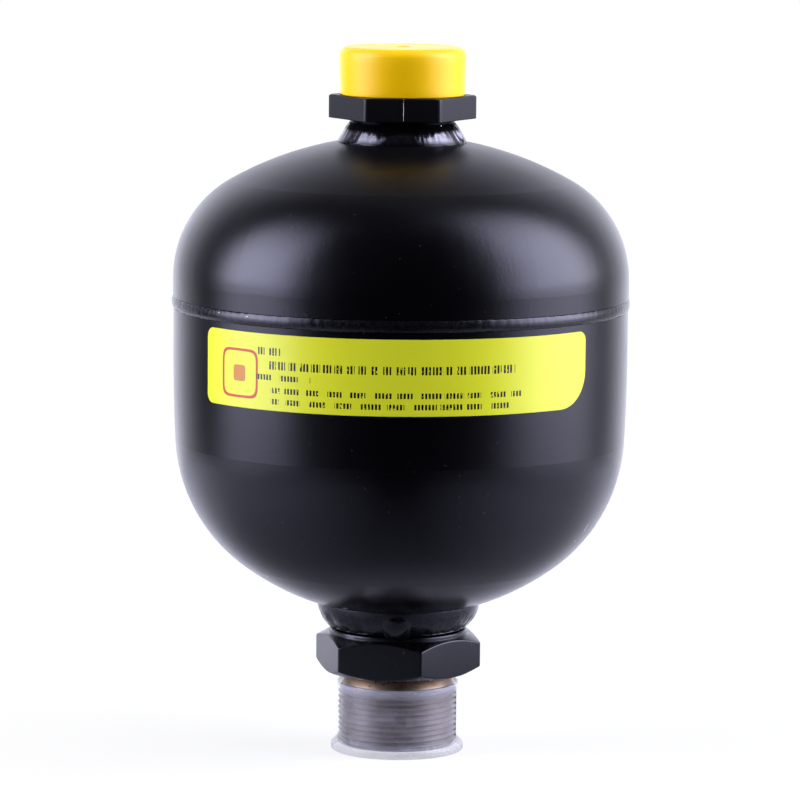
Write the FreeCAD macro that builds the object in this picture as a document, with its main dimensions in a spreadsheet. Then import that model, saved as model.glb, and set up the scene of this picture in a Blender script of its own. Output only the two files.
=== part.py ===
import FreeCAD, Part
import os
import re

import Sketcher

# A small welded diaphragm accumulator, standing upright on the cap of its fluid port.
# Millimetres and degrees. Z runs up the axis, and the label faces -Y.
# Z = 0 is the underside of the fluid port's protective cap.

SIZES = {
    # pressure vessel: two pressed cups that share one bore and meet at the girth weld
    "shell_bore": 57.0,
    "upper_wall": 6.0,
    "upper_straight": 6.7,
    "upper_knuckle": 30.6,
    "upper_crown_turn": 29.6,
    "lower_wall": 5.85,
    "lower_straight": 15.6,
    "side_arc_radius": 450.0,
    "side_arc_turn": 2.92,
    "lower_knuckle": 45.7,
    "lower_crown_turn": 36.73,
    # girth weld in its narrow V groove
    "root_gap": 1.2,
    "root_face": 2.0,
    "weld_bevel": 15.0,
    "weld_crown": 0.45,
    # fluid port: G 1/2 inside, M33 x 1.5 outside, 41 mm hexagon
    "port_thread_radius": 16.45,
    "port_thread_length": 16.8,
    "port_relief_depth": 1.35,
    "port_relief_length": 3.7,
    "port_hex_width": 41.0,
    "port_hex_chamfer": 3.57,
    "port_hex_height": 10.7,
    "port_hex_turn": -74.0,
    "port_collar_step": 1.3,
    "port_collar_height": 1.4,
    "port_neck_step": 2.2,
    "port_neck_height": 5.35,
    "port_spigot_step": 2.0,
    "port_spigot_length": 7.5,
    "port_bore": 9.5,
    "port_bore_depth": 18.0,
    "port_passage": 6.0,
    "port_seat_radius": 7.5,
    "port_weld_lap": 0.2,
    "port_weld_flare": 3.2,
    "port_weld_bulge": 14.0,
    # gas port: M28 x 1.5 stub above a thin hexagon
    "gas_hex_width": 35.6,
    "gas_hex_corner_cut": 0.12,
    "gas_hex_chamfer": 0.65,
    "gas_hex_height": 6.5,
    "gas_neck_step": 3.3,
    "gas_neck_height": 5.6,
    "gas_spigot_step": 2.5,
    "gas_spigot_length": 6.5,
    "gas_thread_step": 3.85,
    "gas_undercut_depth": 0.95,
    "gas_undercut_length": 1.5,
    "gas_stub_length": 10.6,
    "gas_passage": 2.5,
    "gas_counterbore": 7.2,
    "gas_counterbore_depth": 7.0,
    "gas_weld_leg": 3.5,
    "gas_weld_rise": 4.9,
    "gas_weld_hollow": 9.0,
    # charging screw, M8, with the seal ring under its head
    "screw_hole": 4.05,
    "screw_hole_depth": 13.0,
    "screw_length": 11.0,
    "screw_clearance": 0.05,
    "screw_head_gap": 0.7,
    "screw_head_below": 0.8,
    "screw_socket_width": 5.0,
    "screw_socket_depth": 2.8,
    "seal_bore_gap": 0.25,
    "seal_rim_gap": 0.6,
    "seal_thickness": 1.2,
    # yellow cap over the gas port
    "gas_cap_setback": 0.35,
    "gas_cap_draft": 0.25,
    "gas_cap_wall": 1.5,
    "gas_cap_roof": 1.6,
    "gas_cap_headroom": 1.0,
    "gas_cap_edge": 1.6,
    "cap_grip": 0.1,
    "cap_rib_width": 1.4,
    "cap_rib_bite": 0.4,
    "cap_rib_setback": 2.0,
    # clear cap over the fluid port
    "port_cap_floor": 1.8,
    "port_cap_flange_width": 1.35,
    "port_cap_flange_height": 1.6,
    "port_cap_flare_height": 1.6,
    "port_cap_wall": 0.5,
    "port_cap_rim_wall": 0.35,
    "port_cap_gap": 3.2,
    "port_cap_corner": 0.5,
    # diaphragm, its clamp ring and the button that shuts the port
    "ring_thickness": 7.0,
    "ring_above": 7.0,
    "ring_below": 8.0,
    "ring_edge": 1.5,
    "ring_fit": 0.05,
    "bead_thickness": 4.0,
    "bead_top": 2.5,
    "bead_bottom": 8.6,
    "rubber_gap": 0.4,
    "rubber_thickness": 2.5,
    "button_radius": 10.0,
    "button_thickness": 2.5,
    "button_neck": 3.0,
    "button_knob": 6.0,
    "button_knob_height": 2.0,
    "button_gap": 0.3,
    # label film
    "label_below_seam": 3.4,
    "label_height": 20.5,
    "label_left": 55.6,
    "label_right": 52.3,
    "label_film": 0.12,
    "label_blank": 6.0,
    "label_corner": 2.6,
    "label_worn_corner": 10.0,
    # shared
    "weld_fit": 0.1,
    "edge_break": 1.0,
    "chamfer_slope": 30.0,
    "drill_slope": 30.0,
}

CAP_RIBS = 12

# two points closer than this are one point
TOUCHING = 1e-6

doc = FreeCAD.newDocument("DiaphragmAccumulator")
sheet = doc.addObject("Spreadsheet::Sheet", "Sizes")
for row, (alias, number) in enumerate(SIZES.items(), start=1):
    sheet.set(f"A{row}", alias)
    sheet.set(f"B{row}", str(number))
    sheet.setAlias(f"B{row}", alias)
doc.recompute()


# Sketching with named sizes

def value(sum_of_sizes):
    """The number that a sum of named sizes comes to."""
    return float(sheet.evalExpression(sum_of_sizes))


def bound(sum_of_sizes):
    """The same sum as another object of the document writes it."""
    return re.sub(r"\b[a-z]+(?:_[a-z]+)+\b", lambda alias: "Sizes." + alias.group(), sum_of_sizes)


def new_body(label, height):
    """A body named for its piece and lifted to its own datum height."""
    body = doc.addObject("PartDesign::Body", label)
    body.Label = label
    body.setExpression("Placement.Base.z", bound(height))
    return body


def new_sketch(body, role, height="0"):
    """A sketch on one of the body's own origin planes, or parallel to it at a height."""
    sketch = body.newObject("Sketcher::SketchObject", body.Label + "_outline")
    plane = next(part for part in body.Origin.OriginFeatures if part.Role == role)
    sketch.AttachmentSupport = [(plane, "")]
    sketch.MapMode = "FlatFace"
    sketch.setExpression("AttachmentOffset.Base.z", bound(height))
    return sketch


def hold(sketch, kind, geometry, point, size):
    """Dimension one point of a sketch from its origin with a sum of named sizes."""
    number = sketch.addConstraint(Sketcher.Constraint(kind, -1, 1, geometry, point, value(size)))
    sketch.setExpression(f"Constraints[{number}]", bound(size))


def arc_between(start, end, radius, side):
    """The short arc from start to end whose centre lies on the left (1) or right (-1) of the way."""
    middle = (start + end) / 2
    chord = end - start
    across = FreeCAD.Vector(-chord.y, chord.x, 0).normalize()
    reach = max(radius**2 - (chord.Length / 2)**2, 0)**0.5
    centre = middle + across * side * reach
    crown = middle - across * side * radius
    if reach > TOUCHING:
        crown = centre + (middle - centre).normalize() * radius
    return Part.Arc(start, crown, end), centre


def draw(sketch, corners):
    """Draw a closed outline through its corners.

    A corner is (x, y), reached by a straight line, or (x, y, radius, side), reached by an arc.
    Every number in it is a sum of named sizes, and side tells where the arc's centre lies.
    """
    points = [FreeCAD.Vector(value(corner[0]), value(corner[1]), 0) for corner in corners]
    first = None
    last_end = None
    for index, corner in enumerate(corners[1:] + corners[:1], start=1):
        start = points[index - 1]
        end = points[index % len(points)]
        begins, ends = 1, 2
        if len(corner) == 4:
            arc, centre = arc_between(start, end, value(corner[2]), corner[3])
            geometry = sketch.addGeometry(arc, False)
            # a sketch arc always runs anticlockwise, so one drawn the other way starts at its end
            turn = (start - centre).cross(end - centre).z
            begins, ends = (1, 2) if turn > 0 else (2, 1)
            radius = sketch.addConstraint(Sketcher.Constraint("Radius", geometry, value(corner[2])))
            sketch.setExpression(f"Constraints[{radius}]", bound(corner[2]))
        else:
            geometry = sketch.addGeometry(Part.LineSegment(start, end), False)
        hold(sketch, "DistanceX", geometry, ends, corner[0])
        hold(sketch, "DistanceY", geometry, ends, corner[1])
        if last_end is None:
            first = (geometry, begins)
        else:
            sketch.addConstraint(Sketcher.Constraint("Coincident", *last_end, geometry, begins))
        last_end = (geometry, ends)
    sketch.addConstraint(Sketcher.Constraint("Coincident", *last_end, *first))


def turned(label, height, corners, sweep=None):
    """A body turned about Z from a closed half outline, whose x is the radius."""
    body = new_body(label, height)
    sketch = new_sketch(body, "XZ_Plane")
    draw(sketch, corners)
    revolution = body.newObject("PartDesign::Revolution", label + "_turned")
    revolution.Profile = sketch
    revolution.ReferenceAxis = (sketch, ["V_Axis"])
    revolution.Angle = 360
    if sweep:
        revolution.setExpression("Angle", bound(sweep))
    doc.recompute()
    return body


def rectangle(inner, outer, bottom, top):
    """The four corners of a plain rectangle."""
    return [(inner, bottom), (outer, bottom), (outer, top), (inner, top)]


def hexagon(width, turn):
    """The six corners of a hexagon of that width across flats, the first at that angle."""
    corners = []
    for side in range(6):
        angle = f"({turn} + {60 * side})"
        corners.append((f"({width}) / sqrt(3) * cos{angle}", f"({width}) / sqrt(3) * sin{angle}"))
    return corners


def cut_down(body, sketch, depth, name):
    """Pocket a sketch downwards, and make sure that it really cut something."""
    whole = body.Shape.Volume
    pocket = body.newObject("PartDesign::Pocket", body.Label + name)
    pocket.Profile = sketch
    pocket.setExpression("Length", bound(depth))
    doc.recompute()
    if not body.Shape.Volume < whole:
        raise RuntimeError(f"{pocket.Name} cut nothing")


def mill_flats(body, width, turn, top, depth, blank_radius):
    """Mill a turned blank to a hexagon, from the top height down by a depth."""
    sketch = new_sketch(body, "XY_Plane", top)
    ring_radius = f"{blank_radius} + edge_break"
    circle = Part.Circle(FreeCAD.Vector(), FreeCAD.Vector(0, 0, 1), value(ring_radius))
    ring = sketch.addGeometry(circle, False)
    sketch.addConstraint(Sketcher.Constraint("Coincident", ring, 3, -1, 1))
    radius = sketch.addConstraint(Sketcher.Constraint("Radius", ring, value(ring_radius)))
    sketch.setExpression(f"Constraints[{radius}]", bound(ring_radius))
    draw(sketch, hexagon(width, turn))
    cut_down(body, sketch, depth, "_flats")


# Outlines of the two pressed cups, measured up or down from the seam

def upper_cup(inset):
    """Radii and heights of the upper cup, inset from its outside: straight, knuckle, then crown."""
    centre_gap = "((shell_bore + upper_wall - upper_knuckle) / sin(upper_crown_turn))"
    knuckle = f"(upper_knuckle - ({inset}))"
    crown = f"(upper_knuckle + {centre_gap} - ({inset}))"
    return {
        "radius": f"(shell_bore + upper_wall - ({inset}))",
        "knuckle": knuckle,
        "crown": crown,
        "tangent": (
            f"{crown} * sin(upper_crown_turn)",
            f"upper_straight + {knuckle} * cos(upper_crown_turn)",
        ),
        "crown_centre": f"(upper_straight - {centre_gap} * cos(upper_crown_turn))",
    }


def lower_cup(inset):
    """The same for the lower cup, downwards, with a long side arc before its knuckle."""
    reach = "(side_arc_radius - lower_knuckle)"
    out = f"(shell_bore + lower_wall - side_arc_radius + {reach} * cos(side_arc_turn))"
    down = f"(lower_straight + {reach} * sin(side_arc_turn))"
    centre_gap = f"({out} / sin(lower_crown_turn))"
    side = f"(side_arc_radius - ({inset}))"
    knuckle = f"(lower_knuckle - ({inset}))"
    crown = f"(lower_knuckle + {centre_gap} - ({inset}))"
    return {
        "radius": f"(shell_bore + lower_wall - ({inset}))",
        "side": side,
        "knuckle": knuckle,
        "crown": crown,
        "side_end": (
            f"shell_bore + lower_wall - side_arc_radius + {side} * cos(side_arc_turn)",
            f"-(lower_straight + {side} * sin(side_arc_turn))",
        ),
        "tangent": (
            f"{crown} * sin(lower_crown_turn)",
            f"-({down} + {knuckle} * cos(lower_crown_turn))",
        ),
        "crown_centre": f"({centre_gap} * cos(lower_crown_turn) - {down})",
    }


def crown_height(cup, radius, direction):
    """Height from the seam of a cup's crown at a radius: direction is 1 up or -1 down."""
    return f"({cup['crown_centre']} + {direction} * sqrt({cup['crown']}^2 - ({radius})^2))"


UPPER_OUTSIDE = upper_cup("0")
UPPER_INSIDE = upper_cup("upper_wall")
LOWER_OUTSIDE = lower_cup("0")
LOWER_INSIDE = lower_cup("lower_wall")

# Radii of the fluid port, stepped in from its hexagon's flats, and of its weld
PORT_HEX_CORNER = "(port_hex_width / sqrt(3))"
PORT_RELIEF = "(port_thread_radius - port_relief_depth)"
PORT_COLLAR = "(port_hex_width / 2 - port_collar_step)"
PORT_NECK = f"({PORT_COLLAR} - port_neck_step)"
PORT_SPIGOT = f"({PORT_NECK} - port_spigot_step)"
PORT_HOLE = f"({PORT_SPIGOT} + weld_fit)"
PORT_WELD_FOOT = f"({PORT_COLLAR} + port_weld_lap)"
PORT_WELD_TOE = f"({PORT_WELD_FOOT} + port_weld_flare)"

# Radii of the gas port, its cap and its weld
GAS_HEX_ROUND = "(gas_hex_width / sqrt(3) - gas_hex_corner_cut)"
GAS_THREAD = "(gas_hex_width / 2 - gas_thread_step)"
GAS_UNDERCUT = f"({GAS_THREAD} - gas_undercut_depth)"
GAS_CAP = "(gas_hex_width / 2 - gas_cap_setback)"
GAS_NECK = "(gas_hex_width / 2 - gas_neck_step)"
GAS_SPIGOT = f"({GAS_NECK} - gas_spigot_step)"
GAS_HOLE = f"({GAS_SPIGOT} + weld_fit)"
GAS_WELD_TOE = f"({GAS_NECK} + gas_weld_leg)"

# Datum heights, stacked from the cap's floor upwards

PORT_END = "port_cap_floor"
PORT_HEX_BASE = "(port_thread_length + port_relief_length)"
PORT_COLLAR_TOP = f"({PORT_HEX_BASE} + port_hex_height + port_collar_height)"
PORT_SHOULDER = f"({PORT_COLLAR_TOP} + port_neck_height)"
PORT_SEAT = f"({PORT_SHOULDER} + port_spigot_length)"
SEAM = f"({PORT_END} + {PORT_SHOULDER} - {crown_height(LOWER_OUTSIDE, PORT_HOLE, -1)})"
GAS_SHOULDER = f"({SEAM} + {crown_height(UPPER_OUTSIDE, GAS_HOLE, 1)})"
GAS_HEX_BASE = f"({GAS_SHOULDER} + gas_neck_height)"
GAS_STUB_TOP = "(gas_hex_height + gas_stub_length)"
SEAT_FROM_SEAM = f"({PORT_END} + {PORT_SEAT} - {SEAM})"


# Pressure vessel

def bevel_rise(wall):
    """How far the weld bevel climbs across a cup's wall, from the seam."""
    return f"(root_gap / 2 + ({wall} - root_face) * tan(weld_bevel))"


def make_upper_shell():
    """The gas-side cup: short straight wall, knuckle and flat-arched crown with the gas port's hole."""
    outside, inside = UPPER_OUTSIDE, UPPER_INSIDE
    turned("upper_shell", SEAM, [
        (inside["radius"], "root_gap / 2"),
        ("shell_bore + root_face", "root_gap / 2"),
        (outside["radius"], bevel_rise("upper_wall")),
        (outside["radius"], "upper_straight"),
        (*outside["tangent"], outside["knuckle"], 1),
        (GAS_HOLE, crown_height(outside, GAS_HOLE, 1), outside["crown"], 1),
        (GAS_HOLE, crown_height(inside, GAS_HOLE, 1)),
        (*inside["tangent"], inside["crown"], -1),
        (inside["radius"], "upper_straight", inside["knuckle"], -1),
    ])


def make_lower_shell():
    """The fluid-side cup: it draws in slowly below the label, then turns under to the port's hole."""
    outside, inside = LOWER_OUTSIDE, LOWER_INSIDE
    turned("lower_shell", SEAM, [
        (inside["radius"], "-root_gap / 2"),
        (inside["radius"], "-lower_straight"),
        (*inside["side_end"], inside["side"], -1),
        (*inside["tangent"], inside["knuckle"], -1),
        (PORT_HOLE, crown_height(inside, PORT_HOLE, -1), inside["crown"], -1),
        (PORT_HOLE, crown_height(outside, PORT_HOLE, -1)),
        (*outside["tangent"], outside["crown"], 1),
        (*outside["side_end"], outside["knuckle"], 1),
        (outside["radius"], "-lower_straight", outside["side"], 1),
        (outside["radius"], f"-{bevel_rise('lower_wall')}"),
        ("shell_bore + root_face", "-root_gap / 2"),
    ])


def make_girth_weld():
    """The weld that fills the V groove between the cups and stands a little proud of them."""
    half_width = f"(({bevel_rise('upper_wall')} + {bevel_rise('lower_wall')}) / 2)"
    cap_radius = f"({half_width}^2 + weld_crown^2) / (2 * weld_crown)"
    turned("girth_weld", SEAM, [
        ("shell_bore", "-root_gap / 2"),
        ("shell_bore + root_face", "-root_gap / 2"),
        (LOWER_OUTSIDE["radius"], f"-{bevel_rise('lower_wall')}"),
        (UPPER_OUTSIDE["radius"], bevel_rise("upper_wall"), cap_radius, 1),
        ("shell_bore + root_face", "root_gap / 2"),
        ("shell_bore", "root_gap / 2"),
    ])


# Fluid port

def make_fluid_port_boss():
    """The turned port: thread, bare relief, hexagon, collar, weld neck and a spigot with the valve seat."""
    chamfer_height = "(port_hex_chamfer * tan(chamfer_slope))"
    hex_top = f"({PORT_HEX_BASE} + port_hex_height)"
    drill_point = "((port_bore - port_passage) * tan(drill_slope))"
    body = turned("fluid_port_boss", PORT_END, [
        ("port_bore + edge_break", "0"),
        ("port_thread_radius - edge_break", "0"),
        ("port_thread_radius", "edge_break"),
        ("port_thread_radius", "port_thread_length"),
        (PORT_RELIEF, "port_thread_length + port_relief_depth * tan(chamfer_slope)"),
        (PORT_RELIEF, PORT_HEX_BASE),
        (f"{PORT_HEX_CORNER} - port_hex_chamfer", PORT_HEX_BASE),
        (PORT_HEX_CORNER, f"{PORT_HEX_BASE} + {chamfer_height}"),
        (PORT_HEX_CORNER, f"{hex_top} - {chamfer_height}"),
        (f"{PORT_HEX_CORNER} - port_hex_chamfer", hex_top),
        (PORT_COLLAR, hex_top),
        (PORT_COLLAR, PORT_COLLAR_TOP),
        (PORT_NECK, PORT_COLLAR_TOP),
        (PORT_NECK, PORT_SHOULDER),
        (PORT_SPIGOT, PORT_SHOULDER),
        (PORT_SPIGOT, f"{PORT_SEAT} - edge_break"),
        (f"{PORT_SPIGOT} - edge_break", PORT_SEAT),
        ("port_seat_radius", PORT_SEAT),
        ("port_passage", f"{PORT_SEAT} - (port_seat_radius - port_passage)"),
        ("port_passage", f"port_bore_depth + {drill_point}"),
        ("port_bore", "port_bore_depth"),
        ("port_bore", "edge_break"),
    ])
    mill_flats(body, "port_hex_width", "port_hex_turn", hex_top, "port_hex_height", PORT_HEX_CORNER)


def make_fluid_port_weld():
    """The flared weld between the collar and the lower cup, a little full between its edges."""
    collar_top = f"({PORT_END} + {PORT_COLLAR_TOP} - {SEAM})"
    turned("fluid_port_weld", SEAM, [
        (PORT_NECK, collar_top),
        (PORT_WELD_FOOT, collar_top),
        (PORT_WELD_TOE, crown_height(LOWER_OUTSIDE, PORT_WELD_TOE, -1), "port_weld_bulge", 1),
        (PORT_NECK, crown_height(LOWER_OUTSIDE, PORT_NECK, -1), LOWER_OUTSIDE["crown"], -1),
    ])


# Gas port

def make_gas_port_boss():
    """The turned gas port: spigot, neck, thin hexagon and the stub that holds the charging screw."""
    chamfer_height = "(gas_hex_chamfer * tan(chamfer_slope))"
    thread_start = "(gas_hex_height + gas_undercut_length)"
    screw_floor = f"({GAS_STUB_TOP} - gas_counterbore_depth)"
    hole_end = f"({screw_floor} - screw_hole_depth)"
    body = turned("gas_port_boss", GAS_HEX_BASE, [
        ("gas_passage", "-(gas_neck_height + gas_spigot_length)"),
        (f"{GAS_SPIGOT} - edge_break", "-(gas_neck_height + gas_spigot_length)"),
        (GAS_SPIGOT, "-(gas_neck_height + gas_spigot_length - edge_break)"),
        (GAS_SPIGOT, "-gas_neck_height"),
        (GAS_NECK, "-gas_neck_height"),
        (GAS_NECK, "0"),
        (GAS_HEX_ROUND, "0"),
        (GAS_HEX_ROUND, f"gas_hex_height - {chamfer_height}"),
        (f"{GAS_HEX_ROUND} - gas_hex_chamfer", "gas_hex_height"),
        (GAS_UNDERCUT, "gas_hex_height"),
        (GAS_UNDERCUT, thread_start),
        (GAS_THREAD, f"{thread_start} + gas_undercut_depth"),
        (GAS_THREAD, f"{GAS_STUB_TOP} - edge_break"),
        (f"{GAS_THREAD} - edge_break", GAS_STUB_TOP),
        ("gas_counterbore", GAS_STUB_TOP),
        ("gas_counterbore", screw_floor),
        ("screw_hole", screw_floor),
        ("screw_hole", hole_end),
        ("gas_passage", f"{hole_end} - (screw_hole - gas_passage) * tan(drill_slope)"),
    ])
    mill_flats(body, "gas_hex_width", "0", "gas_hex_height", "gas_hex_height", GAS_HEX_ROUND)


def make_gas_port_weld():
    """The concave fillet weld between the gas port's neck and the upper cup."""
    toe = crown_height(UPPER_OUTSIDE, GAS_WELD_TOE, 1)
    neck_foot = crown_height(UPPER_OUTSIDE, GAS_NECK, 1)
    turned("gas_port_weld", SEAM, [
        (GAS_NECK, neck_foot),
        (GAS_WELD_TOE, toe, UPPER_OUTSIDE["crown"], -1),
        (GAS_NECK, f"{neck_foot} + gas_weld_rise", "gas_weld_hollow", -1),
    ])


def make_charging_screw():
    """The M8 screw that shuts the gas port, with a hexagon socket in its round head."""
    seat = f"({GAS_HEX_BASE} + {GAS_STUB_TOP} - gas_counterbore_depth + seal_thickness)"
    shank = "(screw_hole - screw_clearance)"
    head = "(gas_counterbore - screw_head_gap)"
    head_top = "(gas_counterbore_depth - seal_thickness - screw_head_below)"
    body = turned("charging_screw", seat, [
        ("0", "-screw_length"),
        (f"{shank} - edge_break", "-screw_length"),
        (shank, "edge_break - screw_length"),
        (shank, "0"),
        (head, "0"),
        (head, f"{head_top} - edge_break / 2"),
        (f"{head} - edge_break / 2", head_top),
        ("0", head_top),
    ])
    sketch = new_sketch(body, "XY_Plane", head_top)
    draw(sketch, hexagon("screw_socket_width", "0"))
    cut_down(body, sketch, "screw_socket_depth", "_socket")


def make_charging_screw_seal():
    """The flat seal ring under the charging screw's head."""
    inner = "(screw_hole + seal_bore_gap)"
    outer = "(gas_counterbore - seal_rim_gap)"
    floor = f"({GAS_HEX_BASE} + {GAS_STUB_TOP} - gas_counterbore_depth)"
    turned("charging_screw_seal", floor, rectangle(inner, outer, "0", "seal_thickness"))


def make_gas_port_cap():
    """The yellow push-on cap: a drafted cup with a rounded roof edge and grip ribs inside."""
    roof = "(gas_stub_length + gas_cap_headroom)"
    top = f"({roof} + gas_cap_roof)"
    inner = f"({GAS_CAP} - gas_cap_wall)"
    body = turned("gas_port_cap", f"({GAS_HEX_BASE} + gas_hex_height)", [
        ("0", roof),
        (inner, roof),
        (f"{inner} - gas_cap_draft", "0"),
        (f"{GAS_CAP} - gas_cap_draft", "0"),
        (GAS_CAP, f"{top} - gas_cap_edge"),
        (f"{GAS_CAP} - gas_cap_edge", top, "gas_cap_edge", 1),
        ("0", top),
    ])
    sketch = new_sketch(body, "XY_Plane", roof)
    rib_root = f"({inner} + cap_rib_bite - gas_cap_draft)"
    draw(sketch, rectangle(f"{GAS_THREAD} + cap_grip", rib_root, "-cap_rib_width / 2", "cap_rib_width / 2"))
    rib = body.newObject("PartDesign::Pad", "gas_port_cap_rib")
    rib.Profile = sketch
    rib.Reversed = True
    rib.setExpression("Length", bound(f"{roof} - cap_rib_setback"))
    ribs = body.newObject("PartDesign::PolarPattern", "gas_port_cap_ribs")
    ribs.Originals = [rib]
    ribs.Axis = (sketch, ["N_Axis"])
    ribs.Angle = 360
    ribs.Occurrences = CAP_RIBS
    body.Tip = ribs
    doc.recompute()


def make_port_thread_cap():
    """The clear cap: a thin cup round the thread, flared at the foot on which the whole part stands."""
    inner = "(port_thread_radius + cap_grip)"
    outer = f"({inner} + port_cap_wall)"
    flange = f"({outer} + port_cap_flange_width)"
    rim = f"(port_cap_floor + {PORT_HEX_BASE} - port_cap_gap)"
    turned("port_thread_cap", "0", [
        ("0", "0"),
        (f"{flange} - port_cap_corner", "0"),
        (flange, "port_cap_corner", "port_cap_corner", 1),
        (flange, "port_cap_flange_height"),
        (outer, "port_cap_flange_height + port_cap_flare_height"),
        (f"{inner} + port_cap_rim_wall", rim),
        (inner, rim),
        (inner, "port_cap_floor"),
        ("0", "port_cap_floor"),
    ])


# Inside the vessel

def make_clamp_ring():
    """The steel ring behind the girth weld, whose rebated skirt clamps the diaphragm's bead."""
    outer = "(shell_bore - ring_fit)"
    inner = "(shell_bore - ring_thickness)"
    skirt = "(shell_bore - bead_thickness)"
    turned("clamp_ring", SEAM, [
        (inner, "ring_edge - ring_below"),
        (f"{inner} + ring_edge", "-ring_below", "ring_edge", 1),
        (skirt, "-ring_below"),
        (skirt, "-bead_top"),
        (outer, "-bead_top"),
        (outer, "ring_above - ring_edge"),
        (f"{outer} - ring_edge", "ring_above"),
        (inner, "ring_above"),
    ])


def make_diaphragm():
    """The rubber cup: a thick bead in the clamp ring, a wall that lines the lower cup and a flat centre."""
    outside = lower_cup("lower_wall + rubber_gap")
    inside = lower_cup("lower_wall + rubber_gap + rubber_thickness")
    floor = f"({SEAT_FROM_SEAM} + button_thickness + button_gap)"
    roof = f"({floor} + rubber_thickness)"
    floor_radius = f"sqrt({outside['crown']}^2 - ({outside['crown_centre']} - {floor})^2)"
    roof_radius = f"sqrt({inside['crown']}^2 - ({inside['crown_centre']} - {roof})^2)"
    bead_inner = "(shell_bore - bead_thickness)"
    turned("diaphragm", SEAM, [
        (bead_inner, "-bead_top"),
        (bead_inner, "-bead_bottom"),
        (inside["radius"], f"-bead_bottom - ({inside['radius']} - {bead_inner})"),
        (inside["radius"], "-lower_straight"),
        (*inside["side_end"], inside["side"], -1),
        (*inside["tangent"], inside["knuckle"], -1),
        (roof_radius, roof, inside["crown"], -1),
        ("button_neck + button_gap", roof),
        ("button_neck + button_gap", floor),
        (floor_radius, floor),
        (*outside["tangent"], outside["crown"], 1),
        (*outside["side_end"], outside["knuckle"], 1),
        (outside["radius"], "-lower_straight", outside["side"], 1),
        (outside["radius"], "-bead_bottom - rubber_gap"),
        ("shell_bore", "-bead_bottom"),
        ("shell_bore", "-bead_top"),
    ])


def make_closing_button():
    """The button on the port's seat: a disc below the rubber, and a knob that holds it above."""
    neck_top = "(button_thickness + rubber_thickness + 2 * button_gap)"
    knob_top = f"({neck_top} + button_knob_height)"
    turned("closing_button", f"({PORT_END} + {PORT_SEAT})", [
        ("0", "0"),
        ("button_radius - edge_break / 2", "0"),
        ("button_radius", "edge_break / 2"),
        ("button_radius", "button_thickness"),
        ("button_neck", "button_thickness"),
        ("button_neck", neck_top),
        ("button_knob", neck_top),
        ("button_knob", f"{knob_top} - edge_break"),
        ("button_knob - edge_break", knob_top, "edge_break", 1),
        ("0", knob_top),
    ])


# Label

def make_label():
    """The film label round the front of the lower cup, its lower right corner worn to a wide curve.

    It is cut from a thicker blank, so that its corners can be rounded before the film is turned thin.
    """
    film_inner = LOWER_OUTSIDE["radius"]
    film_outer = f"({film_inner} + label_film)"
    blank_inner = f"({film_inner} - label_blank)"
    blank_outer = f"({film_outer} + label_blank)"
    bottom = "-(label_below_seam + label_height)"
    body = turned("label", SEAM, rectangle(blank_inner, blank_outer, bottom, "-label_below_seam"),
                  sweep="label_left + label_right")
    start = "-90 - label_left"
    body.Placement.Rotation = FreeCAD.Rotation(FreeCAD.Vector(0, 0, 1), value(start))
    body.setExpression("Placement.Rotation.Angle", bound(start))
    doc.recompute()
    for worn, radius in ((True, "label_worn_corner"), (False, "label_corner")):
        fillet = body.newObject("PartDesign::Fillet", radius)
        fillet.Base = (fillet.BaseFeature, label_corners(fillet.BaseFeature.Shape, body.Placement, worn))
        fillet.setExpression("Radius", bound(radius))
        doc.recompute()
    below = f"{bottom} - edge_break"
    above = "edge_break - label_below_seam"
    sketch = new_sketch(body, "XZ_Plane")
    draw(sketch, rectangle(f"{blank_inner} - edge_break", film_inner, below, above))
    draw(sketch, rectangle(film_outer, f"{blank_outer} + edge_break", below, above))
    groove = body.newObject("PartDesign::Groove", "label_film_thickness")
    groove.Profile = sketch
    groove.ReferenceAxis = (sketch, ["V_Axis"])
    groove.Angle = 360
    doc.recompute()


def label_corners(blank, placement, worn):
    """Names of the blank's radial corner edges: the lower right one alone, or the other three."""
    names = []
    for number, edge in enumerate(blank.Edges, start=1):
        ends = [vertex.Point for vertex in edge.Vertexes]
        middle = (ends[0] + ends[-1]) / 2
        is_radial = edge.Curve.TypeId == "Part::GeomLine" and abs(ends[0].z - ends[-1].z) < TOUCHING
        is_low = abs(middle.z - blank.BoundBox.ZMin) < TOUCHING
        is_high = abs(middle.z - blank.BoundBox.ZMax) < TOUCHING
        if not (is_radial and (is_low or is_high)):
            continue
        is_lower_right = is_low and placement.multVec(middle).x > 0
        if is_lower_right == worn:
            names.append(f"Edge{number}")
    return names


make_upper_shell()
make_lower_shell()
make_girth_weld()
make_fluid_port_boss()
make_fluid_port_weld()
make_gas_port_boss()
make_gas_port_weld()
make_charging_screw()
make_charging_screw_seal()
make_gas_port_cap()
make_port_thread_cap()
make_clamp_ring()
make_diaphragm()
make_closing_button()
make_label()
doc.recompute()

# Every feature must have worked before anything is written.
for item in doc.Objects:
    if "Invalid" in item.State or "Error" in item.State:
        raise RuntimeError(f"{item.Label} failed: {item.State}")

bodies = [item for item in doc.Objects if item.TypeId == "PartDesign::Body"]
for body in bodies:
    if body.Shape.isNull() or not body.Shape.isValid() or len(body.Shape.Solids) != 1:
        raise RuntimeError(f"{body.Label} is not one sound solid")

os.makedirs("parts", exist_ok=True)
for body in bodies:
    body.Shape.exportStep(os.path.join("parts", f"{body.Label}.step"))
    print(f"{body.Label}: {body.Shape.Volume / 1000:.1f} cm3")
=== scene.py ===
"""The looks of a small welded diaphragm accumulator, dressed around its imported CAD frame."""

import math

import bmesh
import bpy
import numpy as np
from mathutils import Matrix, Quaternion, Vector, noise


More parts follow.
